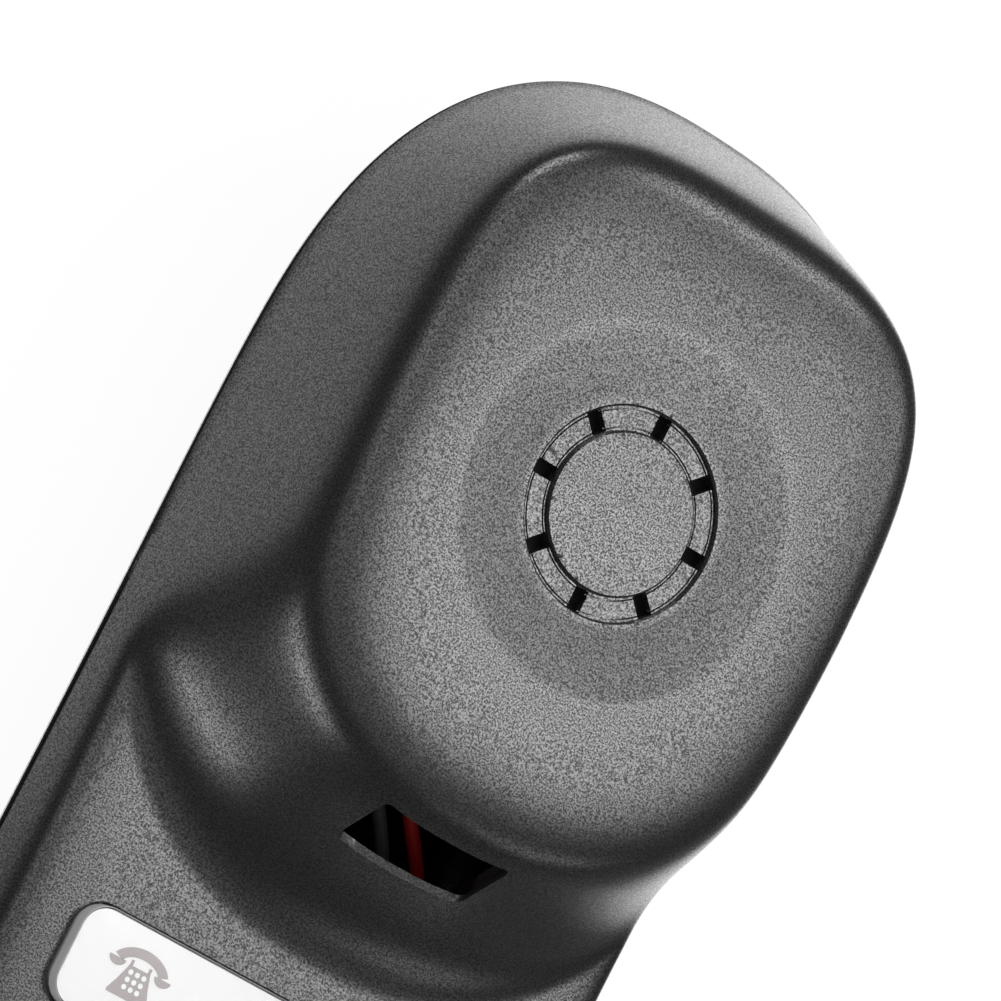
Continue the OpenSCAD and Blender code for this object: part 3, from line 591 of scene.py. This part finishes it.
# Finish of each slot: colour, roughness, size and speckle of the grain, strength and depth of its bump
LOOKS = {
    "silicone": ((0.42, 0.42, 0.40), 0.6, 1500.0, 0.1, 0.1, 0.00003),
    "board_green": ((0.02, 0.13, 0.05), 0.35, 900.0, 0.5, 0.1, 0.00003),
    "chip_black": ((0.015, 0.015, 0.016), 0.55, 4000.0, 0.3, 0.2, 0.00003),
    "capacitor_sleeve": ((0.02, 0.03, 0.12), 0.3, 2000.0, 0.2, 0.05, 0.00002),
    "crystal_can": ((0.7, 0.7, 0.7), 0.28, 2500.0, 0.1, 0.05, 0.00001),
    "receiver_can": ((0.10, 0.10, 0.11), 0.45, 2500.0, 0.3, 0.1, 0.00002),
    "gasket_foam": ((0.02, 0.02, 0.02), 0.9, 1800.0, 0.8, 0.6, 0.0002),
    "clamp_plastic": ((0.03, 0.03, 0.03), 0.5, 3000.0, 0.3, 0.2, 0.00004),
    "screw_steel": ((0.6, 0.6, 0.6), 0.32, 4000.0, 0.15, 0.1, 0.00001),
    "wire_red": ((0.45, 0.012, 0.009), 0.45, 2000.0, 0.15, 0.05, 0.00002),
    "wire_grey": ((0.07, 0.07, 0.073), 0.45, 2000.0, 0.15, 0.05, 0.00002),
    "wire_green": ((0.03, 0.25, 0.08), 0.4, 2000.0, 0.15, 0.05, 0.00002),
    "microphone_can": ((0.62, 0.62, 0.62), 0.3, 3000.0, 0.1, 0.05, 0.00001),
    "boot_rubber": ((0.012, 0.012, 0.012), 0.7, 2500.0, 0.4, 0.2, 0.00004),
    "jack_plastic": ((0.025, 0.025, 0.027), 0.35, 4000.0, 0.2, 0.1, 0.00002),
    "contact_gold": ((0.9, 0.62, 0.22), 0.25, 3000.0, 0.1, 0.05, 0.00001),
}
METALS = ("crystal_can", "screw_steel", "microphone_can", "contact_gold")
finishes = {name: grained(name, *look, Metallic=float(name in METALS)) for name, look in LOOKS.items()}
finishes["card_white"] = paper


def lens_materials():
    """Clear top of the lens and its side walls, which carry painted shade: grey from outside in place of
    the look of the clear edge, clear from inside.
    """
    top, t, p = material("lens_top")
    cloud = noise(t, object_place(t), 900.0, Detail=2.0)
    t.links.new(math(t, "MULTIPLY_ADD", cloud, 0.06, 0.10), p.inputs["Roughness"])
    p.inputs["Base Color"].default_value = (0.95, 0.95, 0.95, 1)
    t.links.new(math(t, "MULTIPLY_ADD", cloud, 0.02, 0.05), p.inputs["Alpha"])
    side, t, p = material("lens_side")
    cloud = noise(t, object_place(t), 700.0, Detail=2.0)
    back = node(t, "ShaderNodeNewGeometry").outputs["Backfacing"]
    # Painted shade: the clear side walls are coloured grey from outside in place of how light passes
    # through the edge
    grey = mix(t, cloud, (0.52, 0.52, 0.525, 1), (0.58, 0.58, 0.585, 1))
    t.links.new(grey, p.inputs["Base Color"])
    t.links.new(math(t, "SUBTRACT", 1.0, back), p.inputs["Alpha"])
    p.inputs["Roughness"].default_value = 0.25
    return top, side


lens_top, lens_side = lens_materials()


# Front housing
def front_housing():
    """Front housing: a loft from the inner middle line over the rim to the outer one, then its openings."""
    near = np.concatenate([np.linspace(0, 0.6, 12), np.linspace(0.63, 1.5, 34), np.linspace(1.55, 2.3, 16)])
    outer = skin(lambda x, y: front_z(x, y, 0), near, 0, RUN, np.linspace(0, 1, 44)[1:])
    inner = skin(lambda x, y: front_z(x, y, WALL), np.linspace(0, 2, 9), WALL, RUN,
                 np.linspace(0, 1, 12)[1:])
    outer[0] = rim(0.0, RIM_BEVEL)
    inner[0] = rim(WALL, 0.0)
    rows = inner[::-1] + [rim(RIM_BEVEL, 0.0)] + outer
    obj = make("front_housing", *weld(*sheet(rows)), materials=[shell])
    at = (0, RING_Y)
    top = float(front_z(0.0, RING_Y, 0))
    above = 36
    r0 = RING_IN - RING_BEVEL
    r1 = RING_R + RING_BEVEL
    groove = [(RING_IN, top - RING_DEPTH), (RING_IN, top - RING_BEVEL), (r0, top), (r0, above),
              (r1, above), (r1, top), (RING_R, top - RING_BEVEL), (RING_R, top - RING_DEPTH)]
    low = top - 0.9
    high = top - 0.2
    lines = [ring([(r, low), (r, high), (r + LINE_W, high), (r + LINE_W, low)], at)
             for r in (RING_IN + 0.17, RING_R - 0.31)]
    steps = [(15.5, 0), (18.2, 0), (18.55, 0.3), (19.6, 0.4)]
    r = KEY_R + KEY_HOLE / 2
    openings = [block(KEY_W + KEY_HOLE, KEY_L + KEY_HOLE, r, steps, p) for p in number_places()]
    openings += [block(KEY_W + KEY_HOLE, FUNC_L + KEY_HOLE, r, steps, p) for p in func_places()]
    steps = [(CARD_LOW, 0), (18.32, 0), (18.52, 0.14), (19.6, 0.2)]
    recess = block(WINDOW_W, WINDOW_L, WINDOW_R, steps, (0, WINDOW_Y))
    carve(obj, [[ring(groove, at), recess, *openings, slot_box()],
                [*lines, slot_relief(), *mic_slits()], sound_slots()])
    posts = []
    for x, y in BOSS:
        roof = float(front_z(abs(x), y, WALL)) + 0.8
        posts.append(lathe([(0, 8.1), (3, 8.1), (3, roof), (0, roof)], (x, y), 32))
    pocket = ring([(15.8, 21.6), (17, 21.6), (17, 32.3), (15.8, 32.3)], at)
    seat = ring([(13, 31.6), (16.5, 31.6), (16.5, 32.3), (13, 32.3)], at)
    add_parts(obj, [*posts, pocket, seat])
    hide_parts("front_shell")


def number_places():
    """Middles of the number keys in reading order."""
    return [((i % 3 - 1) * KEY_DX, KEY_Y - i // 3 * KEY_DY) for i in range(12)]


def func_places():
    """Middles of the function keys."""
    return [((i - 1) * KEY_DX, FUNC_Y) for i in range(3)]


def box(x0, x1, y0, y1, z0, z1):
    """Closed box."""
    p = np.array([(x, y, z) for z in (z0, z1) for x, y in ((x0, y0), (x1, y0), (x1, y1), (x0, y1))], float)
    t = [(0, 2, 1), (0, 3, 2), (4, 5, 6), (4, 6, 7)]
    for k in range(4):
        n = (k + 1) % 4
        t += [(k, n, n + 4), (k, n + 4, k + 4)]
    return p, np.array(t)


def slot_box():
    """Hang slot: a rounded bar through the wall of the neck, level above, its floor rising inwards."""
    rows = []
    for depth in (34.5, 40, 44.7):
        low = SLOT_LOW + SLOT_RISE * (depth - SLOT_LIP_Y)
        rows.append(loop(SLOT_W, SLOT_TOP - low, 0.55, depth) + (0, (SLOT_TOP + low) / 2, 0))
    points, tris = capped(rows)
    return weld(points[:, [0, 2, 1]], tris)


def neck_y(x, z):
    """Place along Y where the outer face of the neck reaches a height, found by halving."""
    low, high = 25.0, 60.0
    for _ in range(40):
        mid = (low + high) / 2
        low, high = (mid, high) if front_z(x, mid, 0) < z else (low, mid)
    return low


def slot_relief():
    """Thinner wall round the hang slot, cut from inside along the outer face."""
    low = 21.5
    deep = 45.2
    rows = []
    for x in np.linspace(-6.6, 6.6, 13):
        face = [(x, neck_y(x, z) + SLOT_WALL, z) for z in np.linspace(low, SLOT_TOP, 9)]
        rows.append(np.array([*face, (x, deep, SLOT_TOP), (x, deep, low)]))
    return weld(*capped(rows))


def sound_slots():
    """Radial slots in the floor of the sound ring."""
    out = []
    for k in range(8):
        a = np.pi * k / 4
        p, t = box(RING_IN + 0.02, RING_R - 0.02, -0.625, 0.625, 30.5, 33.2)
        turn = np.array([[np.cos(a), np.sin(a), 0], [-np.sin(a), np.cos(a), 0], [0, 0, 1]])
        out.append((p @ turn + [0, RING_Y, 0], t))
    return out


def mic_slits():
    """Three slits over the microphone."""
    return [block(1, 6, 0.45, [(22.5, 0), (25.75, 0), (26.1, 0.25), (27.5, 0.3)], (x, MOUTH_Y - 3))
            for x in (-2.4, 0, 2.4)]


front_housing()


# Rear housing
def rear_housing():
    """Rear housing: a loft from the inner middle line over the lip and rim to the outer middle line."""
    step = (EDGE_Z - belly_z(OUT[:, 1])) / FLANK_SLOPE
    lip = WALL + LIP_GAP + LIP_H / SLOPE
    near = np.linspace(0.02, 1.45, 44)
    outer = skin(lambda x, y: rear_z(x, y, 0), near, 0, step, np.linspace(0, 1, 22)[1:])
    inner = skin(lambda x, y: rear_z(x, y, WALL), np.linspace(0.3, 1.3, 9), LIP_T + WALL, step,
                 np.linspace(0, 1, 10)[1:])
    edge = [rim(lip + LIP_T, -PART_GAP - REAR_LAND), rim(lip + LIP_T, LIP_H), rim(lip, LIP_H),
            rim(lip, -PART_GAP), rim(RIM_BEVEL, -PART_GAP), rim(0.0, -PART_GAP - RIM_BEVEL)]
    obj = make("rear_housing", *weld(*sheet(inner[::-1] + edge + outer)), materials=[shell])
    wells = [lathe([(0, -3), (WELL_R, -3), (WELL_R, 5.9), (0, 5.9)], p, 64) for p in BOSS]
    notch = box(-5.75, 5.75, -103.5, -83.25, 8.01, 40)
    carve(obj, [[*wells, notch]])
    tube_wall = [(WELL_R, 2.05), (4.3, 2.05), (4.3, 8), (1.6, 8), (1.6, 6), (WELL_R, 6)]
    add_parts(obj, [ring(tube_wall, p, 64) for p in BOSS])
    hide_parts("rear_shell")


rear_housing()


# Number window: lens and printed mark
def window():
    """Lens: a thin cover of stacked rounded rectangles with a rounded upper edge, over the white card."""
    at = (0, WINDOW_Y)
    turn = np.radians(np.linspace(0, 90, 9))
    edge = [(LENS_TOP + LENS_EDGE * (np.sin(a) - 1), LENS_EDGE * (np.cos(a) - 1)) for a in turn]
    cover = [(LENS_TOP - COVER_TOP, -COVER_SIDE), (LENS_LOW, -COVER_SIDE), (LENS_LOW, 0)]
    points, tris = block(LENS_W, LENS_L, LENS_R, [*cover, *edge], at)
    obj = make("window_lens", points, tris, materials=[lens_side, lens_top])
    up = np.empty(len(obj.data.polygons) * 3)
    obj.data.polygons.foreach_get("normal", up)
    flat = abs(up.reshape(-1, 3)[:, 2]) > 0.75
    obj.data.polygons.foreach_set("material_index", flat.astype(np.int32))
    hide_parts("number_window")
    points, tris = block(LENS_W, LENS_L, LENS_R, [(CARD_LOW, -CARD_GAP), (CARD_TOP, -CARD_GAP)], at)
    card = make("card", points, tris, materials=[paper])
    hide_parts("number_card")


window()


def disc(x, y, rx, ry, start=0.0, stop=360.0, n=40):
    """Flat filled ellipse, or the part of it between two angles, as a fan of triangles."""
    a = np.radians(np.linspace(start, stop, n))
    edge = np.column_stack([x + rx * np.cos(a), y + ry * np.sin(a), np.zeros(n)])
    k = np.arange(1, n - 1)
    return edge, np.column_stack([np.zeros(n - 2, int), k, k + 1])


def band(left, right):
    """Flat strip between two lines of points that run upwards side by side."""
    rows = [np.column_stack([np.asarray(r, float), np.zeros(len(r))]) for r in (right, left)]
    return sheet(rows, closed=False)


def card_marks():
    """Telephone sign printed on the card: a body with nine dots and a bent handset in three pieces."""
    a = np.radians(np.linspace(158, 22, 33))
    arc = np.column_stack([np.cos(a), np.sin(a)])
    swell = 1 + 0.12 * abs(np.cos(a)) ** 3
    handset = band(arc * [2.5, 1.75], arc * np.column_stack([1.85 / swell, 1.02 / swell]))
    y = np.array([-2.1, -1.9, -0.9, 0.1, 0.32])
    half = np.array([1.72, 1.78, 1.32, 0.98, 0.92])
    body = band(np.column_stack([-half, y]), np.column_stack([half, y]))
    prongs = [band([(x - 0.13, 0.3), (x - 0.13, 0.72)], [(x + 0.13, 0.3), (x + 0.13, 0.72)])
              for x in (-0.78, 0.78)]
    lobes = [disc(x, 0.42, 0.72, 0.6, 180, 360) for x in (-1.98, 1.98)]
    dots = [disc(x, y - 0.72, 0.2, 0.2) for x in (-0.58, 0, 0.58) for y in (-0.58, 0, 0.58)]
    at = [-13.13, 21.73, CARD_TOP + INK]
    for name, parts, ink, rise in (("card_mark", [handset, body, *prongs, *lobes], mark_ink, 0.0),
                                   ("card_dots", dots, paper, INK)):
        points, tris = join(parts)
        a, b, c = points[tris[:, 0]], points[tris[:, 1]], points[tris[:, 2]]
        down = np.cross(b - a, c - a)[:, 2] < 0
        tris = np.where(down[:, None], tris[:, ::-1], tris)
        make(name, points * 1.08 + at + [0, 0, rise], tris, materials=[ink])


card_marks()


# Keys with their legends
def key_piece(name, at, l):
    """Key: plunger, flange and cap; its top edge is a quarter round, its top a shallow trough along Y."""
    turn = np.radians(np.linspace(0, 90, 8))
    edge = [(KEY_TOP + KEY_EDGE * (np.sin(a) - 1), KEY_EDGE * (np.cos(a) - 1)) for a in turn]
    rows = [loop(KEY_W + 2 * g, l + 2 * g, KEY_R + g, z) for z, g in [(15.8, 0), (19.6, 0), *edge]]
    inner = rows[-1]
    rows += [inner * [k, k, 1] for k in np.linspace(1, 0.04, 18)[1:]]
    body = capped([trough(row) for row in rows])
    flange = block(KEY_W + 1.8, l + 1.8, KEY_R, [(15.3, 0), (16.3, 0)])
    plunger = lathe([(0, 12.9), (1.8, 12.9), (2, 13.1), (2, 15.6), (0, 15.6)], (0, 0), 40)
    points, tris = join([body, flange, plunger])
    obj = make(name + "_cap", points + [*at, 0], tris, materials=[key_plastic], body=name, smooth=40)
    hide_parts(name)


def trough(points):
    """Lowers the middle of a key's top by a rounded dip across its width."""
    dip = 0.35 * np.maximum(0, 1 - (points[:, 0] / 3.9) ** 2) ** 1.5
    out = points.copy()
    out[:, 2] -= dip * ease((points[:, 2] - 20.3) / 0.4)
    return out


def legend(name, body, text, size, at, rise):
    """Printed text on a key: a flat text mesh, laid on the trough of the key's top."""
    curve = bpy.data.curves.new(name, "FONT")
    curve.body = text
    curve.size = size
    curve.align_x = "CENTER"
    curve.align_y = "CENTER"
    curve.resolution_u = 6
    temp = bpy.data.objects.new(name, curve)
    bpy.context.scene.collection.objects.link(temp)
    graph = bpy.context.evaluated_depsgraph_get()
    mesh = bpy.data.meshes.new_from_object(temp.evaluated_get(graph))
    p, t = read_mesh(mesh)
    bpy.data.objects.remove(temp)
    p[:, 2] = KEY_TOP
    p[:, 1] += rise
    p = trough(p) + [0, 0, 0.03]
    make(name, p + [*at, 0], t, materials=[legend_ink], body=body)


NUMBERS = ["1", "2", "3", "4", "5", "6", "7", "8", "9", "*", "0", "#"]
LETTERS = ["", "ABC", "DEF", "GHI", "JKL", "MNO", "PQRS", "TUV", "WXYZ", "", "OPER", ""]
for i, place in enumerate(number_places()):
    key = "key_" + {"*": "star", "#": "hash"}.get(NUMBERS[i], NUMBERS[i])
    key_piece(key, place, KEY_L)
    legend(key + "_number", key, NUMBERS[i], 4.6, place, 0.9 if LETTERS[i] else 0.0)
    if LETTERS[i]:
        legend(key + "_letters", key, LETTERS[i], 1.9, place, -2.2)
for i, place in enumerate(func_places()):
    key = ["key_mute", "key_flash", "key_redial"][i]
    key_piece(key, place, FUNC_L)
    legend(key + "_word", key, ["MUTE", "FLASH", "REDIAL"][i], 2.2, place, 0.0)


# Receiver wires on the curves of the CAD part
WIRES = {"red": [(3, 59.1, 20.45), (-10, 37.1, 20.45), (20, 44, 16.05), (2, 25, 12.05)],
         "grey": [(-3, 59.1, 20.45), (-10.5, 37.1, 20.45), (14.2, 44, 16.05), (-0.5, 25, 12.05)]}
for name, corners in WIRES.items():
    wire = make(f"wire_{name}", *tube(bezier(corners), WIRE_D), materials=[finishes["wire_" + name]])
    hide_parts("receiver_wire_" + name)

# CAD pieces take the finish of their slot; the ones left over are plain plastic
SLOTS = {
    "number_card": "card_white", "keypad_mat": "silicone", "main_board": "board_green",
    "dialler_chip": "chip_black", "capacitors": "capacitor_sleeve", "crystal": "crystal_can",
    "receiver": "receiver_can", "receiver_gasket": "gasket_foam", "receiver_clamp": "clamp_plastic",
    "clamp_screws": "screw_steel", "microphone": "microphone_can", "microphone_boot": "boot_rubber",
    "microphone_wires": "wire_grey", "modular_jack": "jack_plastic", "jack_contacts": "contact_gold",
    "line_wires": "wire_green", "case_screws": "screw_steel", "board_screws": "screw_steel",
}
for name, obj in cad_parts.items():
    obj.data.materials.clear()
    if name in SLOTS:
        obj.data.materials.append(finishes[SLOTS[name]])
    elif name.startswith("key_"):
        obj.data.materials.append(key_plastic)
    else:
        obj.data.materials.append(shell)


# Stage: white floor, dim sky, lamps and camera
def seen_rays(t):
    """1 for rays straight from the camera or through the clear lens, 0 for the rest."""
    path = node(t, "ShaderNodeLightPath")
    return math(t, "MAXIMUM", path.outputs["Is Camera Ray"], path.outputs["Is Transmission Ray"])


def floor():
    """Floor: white to the camera with a soft shadow; its light on the handset fades away from it."""
    half = 3000.0
    z = -0.1
    p = np.array([(-half, -half, z), (half, -half, z), (half, half, z), (-half, half, z)])
    m, t, b = material("floor_white")
    place = object_place(t)
    shadow = node(t, "ShaderNodeBsdfDiffuse", inputs={
        "Color": mix(t, noise(t, place, 30.0), (0.068, 0.068, 0.068, 1), (0.072, 0.072, 0.072, 1))})
    ear = (-0.010, 0.090, -0.0001)
    away = node(t, "ShaderNodeVectorMath", operation="DISTANCE", inputs={0: place, 1: ear}).outputs["Value"]
    # Painted pool of light: reflected rays see the floor glow at 1.35 within 58 mm of a point by the ear
    # end, fading to 0.12 beyond 94 mm
    near = ramp(t, away, low=0.058, high=0.094, start=1.35, stop=0.12, kind="SMOOTHSTEP")
    level = node(t, "ShaderNodeMix", inputs={0: seen_rays(t), 2: near, 3: 0.94}).outputs[0]
    glow = node(t, "ShaderNodeEmission", inputs={"Strength": level})
    both = node(t, "ShaderNodeAddShader", inputs={0: shadow.outputs[0], 1: glow.outputs[0]})
    t.links.new(both.outputs[0], t.nodes["Material Output"].inputs["Surface"])
    t.nodes.remove(b)
    obj = make("floor", p, [(0, 1, 2), (0, 2, 3)], materials=[m], body=None)


floor()


def sky():
    """Sky: white to the camera; to the handset a dim room with a pale ceiling."""
    world = bpy.data.worlds.new("studio")
    bpy.context.scene.world = world
    world.use_nodes = True
    t = world.node_tree
    way = node(t, "ShaderNodeTexCoord").outputs["Generated"]
    z = node(t, "ShaderNodeSeparateXYZ", inputs={0: way}).outputs[2]
    room = ramp(t, z, low=0.64, high=0.95, start=0.08, stop=0.85, kind="SMOOTHSTEP")
    level = node(t, "ShaderNodeMix", inputs={0: seen_rays(t), 2: room, 3: 1.0}).outputs[0]
    t.links.new(level, t.nodes["Background"].inputs["Strength"])
    t.nodes["Background"].inputs["Color"].default_value = (1, 1, 1, 1)


sky()


LAMP_AIM = (0, 0.05, 0.03)


def lamp(name, direction, distance, wide, tall, watts):
    """Area lamp that looks at LAMP_AIM from a direction; the aim, distance and sizes are in metres."""
    data = bpy.data.lights.new(name, "AREA")
    data.shape = "RECTANGLE"
    data.size = wide
    data.size_y = tall
    data.energy = watts
    obj = bpy.data.objects.new(name, data)
    bpy.context.scene.collection.objects.link(obj)
    d = Vector(direction).normalized()
    obj.location = Vector(LAMP_AIM) + d * distance
    obj.rotation_euler = d.to_track_quat("Z", "Y").to_euler()


lamp("softbox", (0.4380, 0.1740, 0.8820), 0.4420, 0.13, 0.135, 0.73)
lamp("overhead", (-0.12, 0.30, 0.946), 1.3, 0.55, 0.5, 1.9)
lamp("back_right", (-0.30, 0.78, 0.545), 1.3, 0.6, 0.6, 9)
lamp("rim_right", (0.44, 0.54, 0.717), 1.3, 0.16, 0.16, 2.6)
lamp("rim_side", (0.6895, 0.307, 0.656), 1.3, 0.22, 0.22, 1.5)
lamp("low_left", (-0.53, -0.848, 0.052), 1.0, 0.70, 0.07, 3.5)
lamp("front", (0.624, -0.624, 0.469), 1.3, 0.5, 0.5, 1.4)


def camera():
    """Camera worked out from the sound ring and the straight sides of the photo."""
    data = bpy.data.cameras.new("camera")
    data.sensor_width = 36
    data.lens = 223.9
    obj = bpy.data.objects.new("camera", data)
    bpy.context.scene.collection.objects.link(obj)
    right = Vector((0.7727, 0.4361, 0.4613)).normalized()
    ahead = Vector((0.4339, 0.1675, -0.8852)).normalized()
    up = right.cross(ahead).normalized()
    right = ahead.cross(up).normalized()
    turn = Matrix((right, up, -ahead)).transposed()
    obj.matrix_world = Matrix.Translation(Vector((-0.21634, -0.01416, 0.45435))) @ turn.to_4x4()
    bpy.context.scene.camera = obj


camera()
bpy.context.scene.view_settings.view_transform = "Standard"
